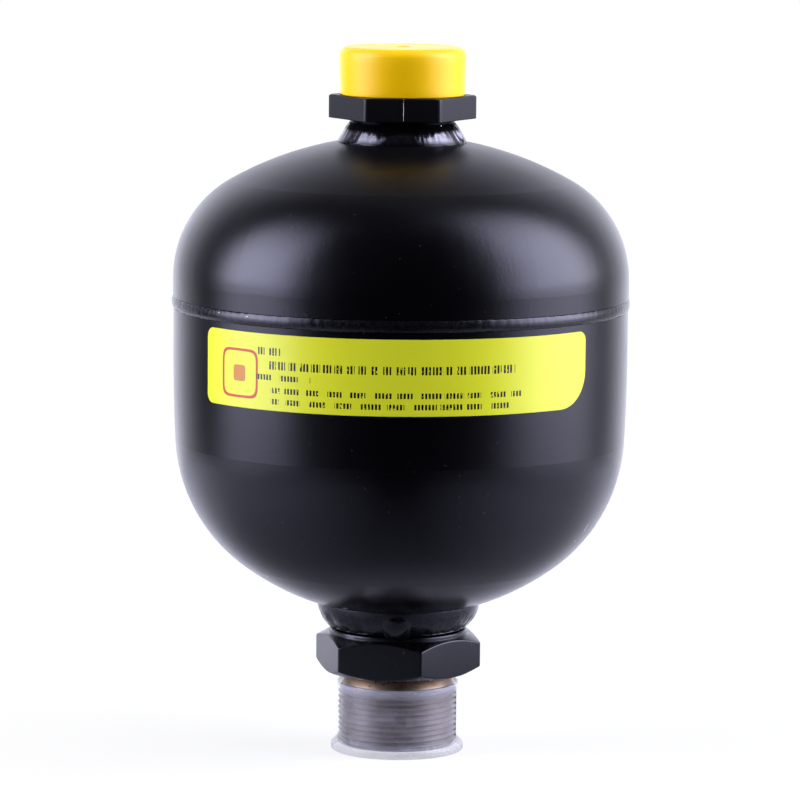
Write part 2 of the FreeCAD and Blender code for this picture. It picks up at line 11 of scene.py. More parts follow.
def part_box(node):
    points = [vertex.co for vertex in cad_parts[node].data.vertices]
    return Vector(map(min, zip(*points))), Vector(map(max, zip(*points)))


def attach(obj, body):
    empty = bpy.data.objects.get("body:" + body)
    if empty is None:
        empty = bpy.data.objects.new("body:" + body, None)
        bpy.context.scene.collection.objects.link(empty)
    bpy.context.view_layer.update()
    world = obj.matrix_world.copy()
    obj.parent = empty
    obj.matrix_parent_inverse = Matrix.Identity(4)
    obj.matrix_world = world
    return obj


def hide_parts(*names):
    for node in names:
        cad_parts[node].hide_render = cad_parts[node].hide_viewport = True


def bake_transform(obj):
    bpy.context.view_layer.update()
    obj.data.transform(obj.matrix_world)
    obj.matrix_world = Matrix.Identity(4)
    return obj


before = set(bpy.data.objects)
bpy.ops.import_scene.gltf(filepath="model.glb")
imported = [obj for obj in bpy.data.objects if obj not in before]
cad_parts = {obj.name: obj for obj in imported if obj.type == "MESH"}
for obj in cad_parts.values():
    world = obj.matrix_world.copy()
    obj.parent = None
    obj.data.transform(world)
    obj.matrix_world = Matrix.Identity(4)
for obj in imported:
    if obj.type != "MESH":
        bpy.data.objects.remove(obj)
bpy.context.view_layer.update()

MM = 0.001
TAU = 2 * math.pi


def reach(node):
    """Lowest and highest point of a CAD node along the axis, and its outer radius, in millimetres."""
    low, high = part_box(node)
    return low[2] / MM, high[2] / MM, max(high[0], high[1]) / MM


# Heights and radii that the frame gives
CAP_FOOT, CAP_RIM, CAP_FLANGE = reach("port_thread_cap")
PORT_END, PORT_SEAT, _ = reach("fluid_port_boss")
GIRTH_LOW, GIRTH_HIGH, GIRTH_CROWN = reach("girth_weld")
PORT_WELD_LOW, PORT_WELD_HIGH, PORT_WELD_TOE = reach("fluid_port_weld")
GAS_END, GAS_TOP, _ = reach("gas_port_boss")
GAS_WELD_LOW, GAS_WELD_HIGH, GAS_WELD_TOE = reach("gas_port_weld")
YELLOW_LOW, YELLOW_HIGH, YELLOW_RADIUS = reach("gas_port_cap")
LABEL_LOW, LABEL_HIGH, _ = reach("label")
LABEL_RADIUS = -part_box("label")[0][1] / MM

# Fluid port, stacked up from its end
CAP_FLANGE_HEIGHT = 1.6
CAP_SHOULDER = 3.2
THREAD_TOP = PORT_END + 16.8
PORT_HEX_BASE = THREAD_TOP + 3.7
PORT_HEX_TOP = PORT_HEX_BASE + 10.7
COLLAR_TOP = PORT_HEX_TOP + 1.4
THREAD_CREST = 16.45
RELIEF_RADIUS = 15.1
PORT_HEX_WIDTH = 41.0
PORT_HEX_TURN = -74.0
COLLAR_RADIUS = 19.2
PORT_NECK = 17.0
PORT_SPIGOT = 15.0
PORT_BORE = 9.5
PORT_PASSAGE = 6.0
BORE_DEPTH = 18.0

# Gas port, stacked down from the end of its stub
STUB_LENGTH = 10.6
GAS_HEX_TOP = GAS_TOP - STUB_LENGTH
GAS_HEX_BASE = GAS_HEX_TOP - 6.5
GAS_HEX_WIDTH = 35.6
GAS_NECK = 14.5
GAS_THREAD_CREST = 13.95
GAS_THREAD_ROOT = GAS_THREAD_CREST - 0.95
GAS_COUNTERBORE = 7.2
COUNTERBORE_DEPTH = 7.0


# Materials

# Heights between which the dome's paint turns drier, and the gas hexagon kept the spray off its weld
DOME_DRY_START = 148.0
DOME_DRY_FULL = 162.0
SPRAY_SHADOW_START = 172.6
SPRAY_SHADOW_FULL = 173.6

PAINT_TINT = "#EAE8FF"
BARE_CHIP = "#C9C9D2"

# Bare specks in the paint: angle from the front in degrees, with right positive, height,
# half width and half height
PAINT_CHIPS = [
    (0.9, 179.6, 0.10, 3.0),
    (-50.6, 126.5, 0.22, 0.16),
    (-40.6, 126.3, 0.3, 0.14),
    (-57.0, 52.0, 0.2, 0.3),
    (66.5, 66.0, 0.16, 1.3),
    (64.0, 62.5, 0.2, 0.3),
    (-34.0, 43.0, 0.8, 0.12),
    (46.0, 175.0, 0.25, 0.18),
    (-53.0, 186.0, 0.15, 0.2),
    (35.0, 110.0, 0.12, 0.12),
]

# Where a speck ends, as a share of its half size squared, and how far noise moves that
CHIP_EDGE = 0.9
CHIP_RAGGED = 1.2


def linear(hex_colour):
    """An sRGB hex colour as the linear RGBA that Blender works in."""
    channels = [int(hex_colour[i:i + 2], 16) / 255 for i in (1, 3, 5)]
    return [c / 12.92 if c <= 0.04045 else ((c + 0.055) / 1.055)**2.4 for c in channels] + [1.0]


def add_node(tree, kind, inputs=(), **settings):
    """Add a node with its settings, set or link its inputs by name or in order, and give its outputs."""
    node = tree.nodes.new("ShaderNode" + kind)
    for name, setting in settings.items():
        setattr(node, name, setting)
    for name, source in inputs.items() if isinstance(inputs, dict) else enumerate(inputs):
        if isinstance(source, bpy.types.NodeSocket):
            tree.links.new(source, node.inputs[name])
        else:
            node.inputs[name].default_value = source
    return node.outputs


def new_material(name, **surface):
    """A material whose Principled shader has those inputs, with its node tree and that shader."""
    material = bpy.data.materials.new(name)
    material.use_nodes = True
    tree = material.node_tree
    shader = tree.nodes["Principled BSDF"]
    for key, number in surface.items():
        shader.inputs[key.replace("_", " ")].default_value = number
    return material, tree, shader


def part_axes(tree):
    """Sockets of X, Y and Z in the part's own frame, in metres."""
    return add_node(tree, "SeparateXYZ", (add_node(tree, "TexCoord")["Object"],))


def grain(tree, spacing, detail=2.0, stretch=(1, 1, 1)):
    """Noise from 0 to 1 in the part's own frame, its lumps about that many millimetres apart."""
    place = add_node(tree, "TexCoord")["Object"]
    scaled = add_node(tree, "Mapping", {"Vector": place, "Scale": stretch})[0]
    return add_node(tree, "TexNoise", {
        "Vector": scaled, "Scale": 1 / (spacing * MM), "Detail": detail, "Roughness": 0.55,
    })["Fac"]


def link_surface(tree, shader, relief, depth, **sockets):
    """Link sockets to the shader's inputs, and a relief from 0 to 1 that is worth that many millimetres."""
    sockets["Normal"] = add_node(tree, "Bump", {"Height": relief, "Strength": 1.0, "Distance": depth * MM})[0]
    for name, socket in sockets.items():
        tree.links.new(socket, shader.inputs[name.replace("_", " ")])


def chip_mask(tree):
    """1 where the paint is chipped."""
    x, y, z = part_axes(tree)
    across = add_node(tree, "Math", (x, 1 / MM), operation="MULTIPLY")[0]
    towards = add_node(tree, "Math", (y, -1 / MM), operation="MULTIPLY")[0]
    up = add_node(tree, "Math", (z, 1 / MM), operation="MULTIPLY")[0]
    squares = [add_node(tree, "Math", (way, way), operation="MULTIPLY")[0] for way in (across, towards)]
    squared = add_node(tree, "Math", squares, operation="ADD")[0]
    distance = add_node(tree, "Math", (squared,), operation="SQRT")[0]
    angle = add_node(tree, "Math", (across, towards), operation="ARCTAN2")[0]
    ragged = add_node(tree, "MapRange", (grain(tree, 0.35, 2.0), 0.0, 1.0, -CHIP_RAGGED, CHIP_RAGGED))[0]
    mask = None
    for turn, height, half_width, half_height in PAINT_CHIPS:
        offset = add_node(tree, "Math", (angle, math.radians(turn)), operation="SUBTRACT")[0]
        aside = add_node(tree, "Math", (offset, distance), operation="MULTIPLY")[0]
        aside = add_node(tree, "Math", (aside, half_width), operation="DIVIDE")[0]
        above = add_node(tree, "Math", (up, height), operation="SUBTRACT")[0]
        above = add_node(tree, "Math", (above, half_height), operation="DIVIDE")[0]
        squares = [add_node(tree, "Math", (way, way), operation="MULTIPLY")[0] for way in (aside, above)]
        spot = add_node(tree, "Math", squares, operation="ADD")[0]
        spot = add_node(tree, "Math", (spot, ragged), operation="ADD")[0]
        chip = add_node(tree, "Math", (spot, CHIP_EDGE), operation="LESS_THAN")[0]
        mask = chip if mask is None else add_node(tree, "Math", (mask, chip), operation="MAXIMUM")[0]
    return mask


def black_enamel(name, roughness):
    """Sprayed and baked black enamel on steel: satin over a fine orange peel, chipped in a few places."""
    material, tree, shader = new_material(
        name, IOR=1.5, Specular_IOR_Level=0.4, Specular_Tint=linear(PAINT_TINT),
    )
    peel = grain(tree, 1.1, 1.5)
    cloud = grain(tree, 16.0, 3.0)
    dry = add_node(tree, "MapRange", (
        part_axes(tree)[2], DOME_DRY_START * MM, DOME_DRY_FULL * MM, roughness, roughness + 0.1,
    ))[0]
    polish = add_node(tree, "Math", (cloud, 0.08, dry), operation="MULTIPLY_ADD")[0]
    dust = add_node(tree, "MapRange", (grain(tree, 1.1, 0.0), 0.83, 0.87, 0.0, 0.4))[0]
    paint = add_node(tree, "MixRGB", (dust, linear("#020203"), linear("#3A3A42")))[0]
    chipped = add_node(tree, "MixRGB", (chip_mask(tree), paint, linear(BARE_CHIP)))[0]
    link_surface(tree, shader, peel, 0.018, Base_Color=chipped, Roughness=polish)
    return material


def weld_enamel(name, gloss, roughness, lump):
    """The same enamel over a weld bead, thicker and lumpy."""
    material, tree, shader = new_material(
        name, IOR=1.6, Specular_IOR_Level=gloss, Specular_Tint=linear(PAINT_TINT),
    )
    lumps = grain(tree, 1.0, 2.0)
    polish = add_node(tree, "MapRange", (lumps, 0.3, 0.7, roughness, roughness + 0.12))[0]
    paint = add_node(tree, "MixRGB", (lumps, linear("#040406"), linear("#0B0B0E")))[0]
    chipped = add_node(tree, "MixRGB", (chip_mask(tree), paint, linear(BARE_CHIP)))[0]
    link_surface(tree, shader, lumps, lump, Base_Color=chipped, Roughness=polish)
    return material, tree, shader


def gas_weld_enamel():
    """Glossy over the weld's body, dry and dull where the hexagon kept the spray off, and thin at the toe."""
    material, tree, shader = weld_enamel("thick_glossy_enamel", 1.0, 0.12, 0.03)
    height = part_axes(tree)[2]
    sprayed = add_node(tree, "MapRange", (
        height, SPRAY_SHADOW_START * MM, SPRAY_SHADOW_FULL * MM, 1.0, 0.02,
    ))[0]
    toe = GAS_WELD_LOW * MM
    thin_toe = add_node(tree, "MapRange", (height, toe - 1.0 * MM, toe - 0.9 * MM, 1.0, 0.15))[0]
    full_body = add_node(tree, "MapRange", (height, toe + 0.5 * MM, toe + 1.6 * MM, 0.0, 0.85))[0]
    covered = add_node(tree, "Math", (thin_toe, full_body), operation="ADD")[0]
    sheen = add_node(tree, "Math", (sprayed, covered), operation="MULTIPLY")[0]
    tree.links.new(sheen, shader.inputs["Specular IOR Level"])
    return material


def turned_steel(name, colour, stain, roughness):
    """Lathe-turned carbon steel in clouds of two greys, with fine tool rings round the axis.

    Real tool rings are about 0.1 mm apart. They are drawn 0.3 mm apart, so that they show.
    Also gives the sockets of its colour and its polish.
    """
    material, tree, shader = new_material(name, Metallic=1.0)
    patches = grain(tree, 5.0, 4.0)
    tone = add_node(tree, "MapRange", (patches, 0.2, 0.8, 0.0, 1.0))[0]
    steel = add_node(tree, "MixRGB", (tone, linear(colour), linear(stain)))[0]
    polish = add_node(tree, "MapRange", (patches, 0.3, 0.7, roughness - 0.08, roughness + 0.1))[0]
    tool_rings = grain(tree, 0.3, 1.0, stretch=(0.02, 0.02, 1))
    link_surface(tree, shader, tool_rings, 0.012, Base_Color=steel, Roughness=polish)
    return material, tree, shader, steel, polish


def oiled_steel():
    """The same steel under old oil: dull on the thread, brown and specked on the relief above it."""
    material, tree, shader, steel, polish = turned_steel("oiled_turned_steel", "#908B8E", "#7C7373", 0.4)
    height = part_axes(tree)[2]
    top = THREAD_TOP * MM
    above = add_node(tree, "MapRange", (height, top - 0.1 * MM, top + 0.9 * MM, 0.0, 1.0))[0]
    specks = add_node(tree, "MapRange", (grain(tree, 0.8, 0.0), 0.71, 0.75, 0.0, 0.85))[0]
    aged = add_node(tree, "MixRGB", (specks, linear("#6E5A49"), linear("#1C1512")))[0]
    colour = add_node(tree, "MixRGB", (above, steel, aged))[0]
    tree.links.new(colour, shader.inputs["Base Color"])
    dull = add_node(tree, "Math", (above, 0.08, polish), operation="MULTIPLY_ADD")[0]
    tree.links.new(dull, shader.inputs["Roughness"])
    bare = add_node(tree, "MapRange", (height, top - 0.5 * MM, top + 0.1 * MM, 0.6, 0.85))[0]
    tree.links.new(bare, shader.inputs["Metallic"])
    return material


def zinc_plated_steel():
    """Bright zinc plate on a machined screw: pale and slightly cloudy."""
    material, tree, shader = new_material("zinc_plated_steel", Metallic=1.0)
    cloud = grain(tree, 2.0, 3.0)
    plate = add_node(tree, "MixRGB", (cloud, linear("#B9BEC4"), linear("#8F969E")))[0]
    polish = add_node(tree, "MapRange", (cloud, 0.3, 0.7, 0.22, 0.4))[0]
    link_surface(tree, shader, grain(tree, 0.4), 0.01, Base_Color=plate, Roughness=polish)
    return material


def nitrile_rubber():
    """Moulded nitrile rubber: deep black, matt, with a faint bloom."""
    material, tree, shader = new_material("nitrile_rubber", IOR=1.52, Specular_IOR_Level=0.35)
    bloom = grain(tree, 6.0, 4.0)
    rubber = add_node(tree, "MixRGB", (bloom, linear("#0C0C0C"), linear("#1E1E1D")))[0]
    polish = add_node(tree, "MapRange", (bloom, 0.3, 0.7, 0.5, 0.7))[0]
    link_surface(tree, shader, grain(tree, 0.5), 0.02, Base_Color=rubber, Roughness=polish)
    return material


def yellow_polythene():
    """Injection-moulded low-density polythene: waxy, slightly translucent, its gloss soft."""
    material, tree, shader = new_material(
        "yellow_polythene", IOR=1.51, Specular_IOR_Level=0.3, Subsurface_Weight=0.2,
        Subsurface_Scale=1.2 * MM, Subsurface_Radius=(1.0, 0.6, 0.15),
    )
    flow = grain(tree, 9.0, 2.0)
    wax = add_node(tree, "MixRGB", (flow, linear("#FFC600"), linear("#FFCB06")))[0]
    polish = add_node(tree, "MapRange", (flow, 0.3, 0.7, 0.32, 0.4))[0]
    link_surface(tree, shader, grain(tree, 0.9), 0.008, Base_Color=wax, Roughness=polish)
    return material


def clear_polythene():
    """Thin blown polythene: clear but milky, in bands round the axis and in scuffed patches; its pale band
    below the rim is partly haze, partly a painted highlight.
    """
    material, tree, shader = new_material("clear_polythene", IOR=1.5, Roughness=0.16)
    height = part_axes(tree)[2]
    flange = CAP_FLANGE_HEIGHT * MM
    shoulder = CAP_SHOULDER * 1.2 * MM
    patches = grain(tree, 6.0, 4.0, stretch=(1, 1, 2.2))
    scuffs = add_node(tree, "MapRange", (patches, 0.5, 0.95, 0.0, 0.26))[0]
    foot = add_node(tree, "MapRange", (height, flange, shoulder, 0.4, 0.0))[0]
    # Pale band below the rim: partly the film's milky haze, partly a painted highlight standing in for the
    # bright rings on the cap's wall
    rim = add_node(tree, "MapRange", (height, (CAP_RIM - 3.0) * MM, (CAP_RIM - 0.8) * MM, 0.0, 0.3))[0]
    rings = grain(tree, 2.2, 2.0, stretch=(0.03, 0.03, 1))
    bands = add_node(tree, "MapRange", (rings, 0.3, 0.7, 0.0, 0.07))[0]
    haze = scuffs
    for milky in (foot, rim, bands):
        haze = add_node(tree, "Math", (haze, milky), operation="ADD")[0]
    low = add_node(tree, "MapRange", (height, flange, shoulder, 1.0, 0.0))[0]
    film = add_node(tree, "MixRGB", (low, linear("#C6C4D2"), linear("#A6A4B4")))[0]
    link_surface(tree, shader, grain(tree, 1.5), 0.02, Base_Color=film, Alpha=haze)
    return material


# Label print: a bar and frame design in millimetres along and up the film
LABEL_PAPER = "#DCE12E"
LABEL_FADED = "#D8DA28"
LABEL_INK = "#17170F"
LABEL_ORANGE = "#B83A00"
LABEL_SCUFF = "#E8E8DA"
FRAME_CENTRE = (-47.5, -1.0)
FRAME_HALF = 6.3
FRAME_LINE = 0.36
FRAME_SQUARENESS = 6.0
CORE_HALF = 2.2
CORE_TINT = 0.8
WORN_CORNER = 10.0
WORN_EDGE = 0.9

# Shortest and longest bar and width of a stroke as shares of their spacing, shift from row to row, wear
BAR_SHORTEST = 0.6
BAR_LONGEST = 0.9
STROKE_PITCH = 0.95
STROKE_SHARE = 0.62
ROW_SHIFT = 0.37
INK_WEAR = 0.36

# Height, start and end along the film, thickness and bar spacing of each printed row
PRINT_ROWS = [
    (5.6, -41.0, -33.5, 2.0, 3.4),
    (1.9, -37.4, 32.0, 2.2, 3.3),
    (-1.4, -41.5, -24.5, 1.5, 9.0),
    (-4.8, -36.5, 34.2, 1.5, 6.3),
    (-7.8, -36.5, 31.8, 1.5, 7.1),
]


def within(tree, value, low, high):
    """1 where a value lies between low and high."""
    offset = add_node(tree, "Math", (value, (low + high) / 2), operation="SUBTRACT")[0]
    offset = add_node(tree, "Math", (offset,), operation="ABSOLUTE")[0]
    return add_node(tree, "Math", (offset, (high - low) / 2), operation="LESS_THAN")[0]


def frame_mask(tree, along, up):
    """The label's rounded orange frame and the fainter square in it, by the distance from their middle."""
    powers = []
    for place, centre in zip((along, up), FRAME_CENTRE):
        offset = add_node(tree, "Math", (place, centre), operation="SUBTRACT")[0]
        offset = add_node(tree, "Math", (offset,), operation="ABSOLUTE")[0]
        powers.append(add_node(tree, "Math", (offset, FRAME_SQUARENESS), operation="POWER")[0])
    rim = add_node(tree, "Math", powers, operation="ADD")[0]
    rim = add_node(tree, "Math", (rim, 1 / FRAME_SQUARENESS), operation="POWER")[0]
    line = within(tree, rim, FRAME_HALF - FRAME_LINE, FRAME_HALF + FRAME_LINE)
    core = add_node(tree, "Math", (rim, CORE_HALF), operation="LESS_THAN")[0]
    core = add_node(tree, "Math", (core, CORE_TINT), operation="MULTIPLY")[0]
    return add_node(tree, "Math", (line, core), operation="MAXIMUM")[0]


def print_mask(tree, along, up):
    """The label's rows of short upright bars, worn through in specks."""
    ink = None
    for row, (height, start, end, thick, pitch) in enumerate(PRINT_ROWS):
        sides = (within(tree, up, height - thick / 2, height + thick / 2), within(tree, along, start, end))
        line = add_node(tree, "Math", sides, operation="MULTIPLY")[0]
        cell = add_node(tree, "Math", (along, 1 / pitch), operation="MULTIPLY")[0]
        cell = add_node(tree, "Math", (cell, row * ROW_SHIFT), operation="ADD")[0]
        whole = add_node(tree, "Math", (cell,), operation="FLOOR")[0]
        shorten = add_node(tree, "TexWhiteNoise", {"W": whole}, noise_dimensions="1D")[0]
        length = add_node(tree, "MapRange", (shorten, 0.0, 1.0, BAR_SHORTEST, BAR_LONGEST))[0]
        part = add_node(tree, "Math", (cell,), operation="FRACT")[0]
        bar = add_node(tree, "Math", (part, length), operation="LESS_THAN")[0]
        stroke = add_node(tree, "Math", (along, 1 / STROKE_PITCH), operation="MULTIPLY")[0]
        stroke = add_node(tree, "Math", (stroke,), operation="FRACT")[0]
        stroke = add_node(tree, "Math", (stroke, STROKE_SHARE), operation="LESS_THAN")[0]
        bar = add_node(tree, "Math", (bar, stroke), operation="MULTIPLY")[0]
        line = add_node(tree, "Math", (line, bar), operation="MULTIPLY")[0]
        ink = line if ink is None else add_node(tree, "Math", (ink, line), operation="MAXIMUM")[0]
    worn = add_node(tree, "Math", (grain(tree, 0.8, 2.0), INK_WEAR), operation="GREATER_THAN")[0]
    return add_node(tree, "Math", (ink, worn), operation="MULTIPLY")[0]


def scuff_mask(tree, along, up):
    """1 on the frayed white edge round the label's worn lower right corner."""
    reach_right = math.atan2(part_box("label")[1][0], -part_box("label")[1][1]) * LABEL_RADIUS
    bottom = (LABEL_LOW - LABEL_HIGH) / 2
    past = add_node(tree, "Math", (along, reach_right - WORN_CORNER), operation="SUBTRACT")[0]
    past = add_node(tree, "Math", (past, 0.0), operation="MAXIMUM")[0]
    below = add_node(tree, "Math", (bottom + WORN_CORNER, up), operation="SUBTRACT")[0]
    below = add_node(tree, "Math", (below, 0.0), operation="MAXIMUM")[0]
    squares = [add_node(tree, "Math", (way, way), operation="MULTIPLY")[0] for way in (past, below)]
    squared = add_node(tree, "Math", squares, operation="ADD")[0]
    corner = add_node(tree, "Math", (squared,), operation="SQRT")[0]
    fray = add_node(tree, "MapRange", (grain(tree, 1.2, 3.0), 0.0, 1.0, -1.6, 0.6))[0]
    frayed = add_node(tree, "Math", (corner, fray), operation="ADD")[0]
    scuffed = add_node(tree, "Math", (frayed, WORN_CORNER - WORN_EDGE), operation="GREATER_THAN")[0]
    inside = add_node(tree, "Math", (below, past), operation="MINIMUM")[0]
    inside = add_node(tree, "Math", (inside, 0.5), operation="GREATER_THAN")[0]
    return add_node(tree, "Math", (scuffed, inside), operation="MULTIPLY")[0]


def printed_film():
    """Glossy self-adhesive polyester film, printed yellow, with an orange frame and rows of dark bars."""
    material, tree, shader = new_material("printed_film", Roughness=0.26, IOR=1.5)
    x, y, z = part_axes(tree)
    towards = add_node(tree, "Math", (y, -1.0), operation="MULTIPLY")[0]
    around = add_node(tree, "Math", (x, towards), operation="ARCTAN2")[0]
    along = add_node(tree, "Math", (around, LABEL_RADIUS), operation="MULTIPLY")[0]
    height = add_node(tree, "Math", (z, MM), operation="DIVIDE")[0]
    up = add_node(tree, "Math", (height, (LABEL_LOW + LABEL_HIGH) / 2), operation="SUBTRACT")[0]
    paper = add_node(tree, "MixRGB", (grain(tree, 20.0, 2.0), linear(LABEL_PAPER), linear(LABEL_FADED)))[0]
    marked = add_node(tree, "MixRGB", (frame_mask(tree, along, up), paper, linear(LABEL_ORANGE)))[0]
    inked = add_node(tree, "MixRGB", (print_mask(tree, along, up), marked, linear(LABEL_INK)))[0]
    printed = add_node(tree, "MixRGB", (scuff_mask(tree, along, up), inked, linear(LABEL_SCUFF)))[0]
    link_surface(tree, shader, grain(tree, 6.0, 1.0), 0.03, Base_Color=printed)
    return material


# Meshes

def finish_piece(obj, body, slot, nodes, *materials):
    """Give a new piece its body and its materials, and hide the CAD nodes it stands for. The slot argument is
    not used.
    """
    for material in materials:
        obj.data.materials.append(material)
    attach(obj, body)
    if nodes:
        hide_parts(*nodes)
    return obj


def skin(name, rows, angles, closed=False, paint=None):
    """A surface round the axis through rows of (radius, height), each a number or one for each angle.

    Rings that fall on the axis become a point. With closed, the last row joins the first.
    paint gives a material index for each band between two rows.
    """
    count = len(angles)
    cosines, sines = np.cos(angles), np.sin(angles)
    points = []
    for radius, height in rows:
        radius = np.broadcast_to(radius, count)
        height = np.broadcast_to(height, count)
        points.append(np.stack([radius * cosines, radius * sines, height], axis=1))
    points = np.concatenate(points) * MM
    faces = []
    indices = []
    bands = len(rows) if closed else len(rows) - 1
    for band in range(bands):
        here = band * count
        there = (band + 1) % len(rows) * count
        for step in range(count):
            after = (step + 1) % count
            faces.append((here + step, here + after, there + after, there + step))
            indices.append(paint[band] if paint else 0)
    mesh = bpy.data.meshes.new(name)
    mesh.from_pydata(points.tolist(), [], faces)
    mesh.polygons.foreach_set("material_index", indices)
    obj = bpy.data.objects.new(name, mesh)
    bpy.context.scene.collection.objects.link(obj)
    tidy_mesh(mesh)
    return obj


def tidy_mesh(mesh):
    """Merge coincident points, drop empty faces, turn all normals outwards and shade smooth."""
    work = bmesh.new()
    work.from_mesh(mesh)
    bmesh.ops.remove_doubles(work, verts=work.verts, dist=1e-6)
    bmesh.ops.dissolve_degenerate(work, edges=work.edges, dist=1e-7)
    bmesh.ops.recalc_face_normals(work, faces=work.faces)
    for face in work.faces:
        face.smooth = True
    work.to_mesh(mesh)
    work.free()


# Turn from one row of a rounding to the next
ROUNDING_STEP = math.radians(22)


def rounded(corners, step=None):
    """Rows through corners of (radius, height, rounding), each rounded by that radius.

    With step, straight stretches longer than it are divided.
    """
    rows = []
    count = len(corners)
    for index, (radius, height, rounding) in enumerate(corners):
        here = np.array([radius, height])
        before = np.array(corners[index - 1][:2])
        after = np.array(corners[(index + 1) % count][:2])
        if not rounding:
            rows.append(tuple(here))
            continue
        back = (before - here) / np.linalg.norm(before - here)
        ahead = (after - here) / np.linalg.norm(after - here)
        half_turn = math.acos(np.clip(np.dot(back, ahead), -1, 1)) / 2
        trim = rounding / math.tan(half_turn)
        centre = here + (back + ahead) / np.linalg.norm(back + ahead) * rounding / math.sin(half_turn)
        start = here + back * trim - centre
        end = here + ahead * trim - centre
        turn = math.atan2(start[0] * end[1] - start[1] * end[0], np.dot(start, end))
        pieces = max(2, round(abs(turn) / ROUNDING_STEP))
        for part in range(pieces + 1):
            angle = turn * part / pieces
            rows.append((centre[0] + start[0] * math.cos(angle) - start[1] * math.sin(angle),
                         centre[1] + start[0] * math.sin(angle) + start[1] * math.cos(angle)))
    if step is None:
        return rows
    fine = []
    for start, end in zip(rows, rows[1:] + rows[:1]):
        parts = max(1, math.ceil(math.dist(start, end) / step))
        origin = np.array(start)
        way = np.array(end) - origin
        fine += [tuple(origin + way * part / parts) for part in range(parts)]
    return fine


def even_angles(count):
    """That many angles round the axis."""
    return np.arange(count) * TAU / count


def hex_angles(turn):
    """Angles for a hexagon whose first corner is at turn degrees, close together near its corners."""
    from_corner = np.array([0, 0.4, 0.9, 1.6, 2.6, 4, 6, 9, 13, 18, 24, 30])
    offsets = np.concatenate([from_corner, 60 - from_corner[1:-1][::-1]])
    return np.concatenate([np.radians(turn + 60 * side + offsets) for side in range(6)])


def hex_radius(angles, width, turn, sharpness):
    """Radius of a hexagon at each angle. The higher the sharpness, the less its corners are rounded."""
    total = 0
    for side in range(6):
        facing = np.cos(angles - math.radians(turn + 30 + 60 * side))
        total = total + np.maximum(facing, 0)**sharpness
    return width / 2 / total**(1 / sharpness)


def thread_rows(low, high, crest, depth, pitch, angles, lead_in, outside=True):
    """Rows of a V thread that winds from low to high, with a chamfered start at the low end."""
    phases = np.array([0.0, 0.03, 0.13, 0.16, 0.47, 0.52, 0.62, 0.67])
    heights = np.array([0.0, 1.0, 1.0, 0.97, 0.06, 0.0, 0.0, 0.06])
    rows = []
    climb = angles / TAU * pitch
    turns = math.ceil((high - low) / pitch) + 1
    way = 1 if outside else -1
    for turn in range(-1, turns):
        for phase, height in zip(phases, heights):
            level = np.clip(low + (turn + phase) * pitch + climb, low, high)
            radius = crest - way * depth * (1 - height)
            cone = crest - way * (lead_in - (level - low))
            runout = crest - way * depth * np.clip((level - high) / pitch + 1, 0, 1)
            if outside:
                radius = np.minimum(np.minimum(radius, cone), runout)
                radius = np.where(level < high, radius, crest - depth)
            else:
                radius = np.maximum(radius, cone)
            rows.append((radius, level))
    return rows


# Radius of the ring on which wander measures its lumps, and what brings its noise to about -1 to 1
WANDER_RADIUS = 20
WANDER_GAIN = 1.6


def wander(angles, height, scale, seed):
    """Smooth noise from about -1 to 1 for each angle at a height, its lumps about scale millimetres wide."""
    size = WANDER_RADIUS / scale
    return np.array([
        noise.noise(Vector((math.cos(a) * size, math.sin(a) * size, height / scale + seed))) for a in angles
    ]) * WANDER_GAIN


# Girth weld

# Points round the bead and across it, height of its crown, how far the solid bead stands over the cups,
# depth of its root in them, width of its lumps and spacing of its ripples
BEAD_COLUMNS = 1440
BEAD_ROWS = 15
BEAD_CROWN = 0.42
BEAD_RAISED = 0.45
BEAD_ROOT = 1.2
BEAD_LUMP = 1.6
RIPPLE_PITCH = 1.3


def make_girth_bead():
    """The machine-laid bead round the middle: low, finely rippled, its edges wandering a little."""
    angles = even_angles(BEAD_COLUMNS)
    shell = GIRTH_CROWN - BEAD_RAISED
    half = (GIRTH_HIGH - GIRTH_LOW) / 2
    middle = (GIRTH_HIGH + GIRTH_LOW) / 2
    size = shell / BEAD_LUMP
    along = np.array([noise.noise(Vector((math.cos(a), math.sin(a), 0.2)) * size) for a in angles])
    coarse = np.array([noise.noise(Vector((math.cos(a), math.sin(a), 0.7)) * size / 7) for a in angles])
    ripple = 0.5 + 0.5 * np.cos(angles * round(shell * TAU / RIPPLE_PITCH) + coarse * 9)
    rows = [(shell - BEAD_ROOT, middle - half)]
    for step in np.linspace(-1, 1, BEAD_ROWS):
        arch = max(0.0, 1 - step**2)**0.8
        edge = (0.14 * along + 0.12 * coarse) * abs(step)
        relief = arch * (BEAD_CROWN + 0.08 * coarse + 0.04 * along - 0.003 * ripple * (1 - 0.5 * abs(step)))
        rows.append((shell - 0.05 + relief, middle + step * half * 0.98 + edge))
    rows.append((shell - BEAD_ROOT, middle + half))
    bead = skin("girth_bead", rows, angles, closed=True)
    finish_piece(bead, "vessel", "black_paint", ["girth_weld"], bead_enamel_look)


# Fluid port

# Hexagons: radius of the round end face, sharpness of the corners, fall of the chamfer for its width
PORT_HEX_FACE = 20.1
PORT_HEX_SHARPNESS = 170
PORT_CHAMFER = math.tan(math.pi / 6)
GAS_HEX_FACE = 19.7
GAS_HEX_SHARPNESS = 60
GAS_CHAMFER = 0.5
LEAST_CHAMFER = 0.3
SOFT_EDGE = 0.22


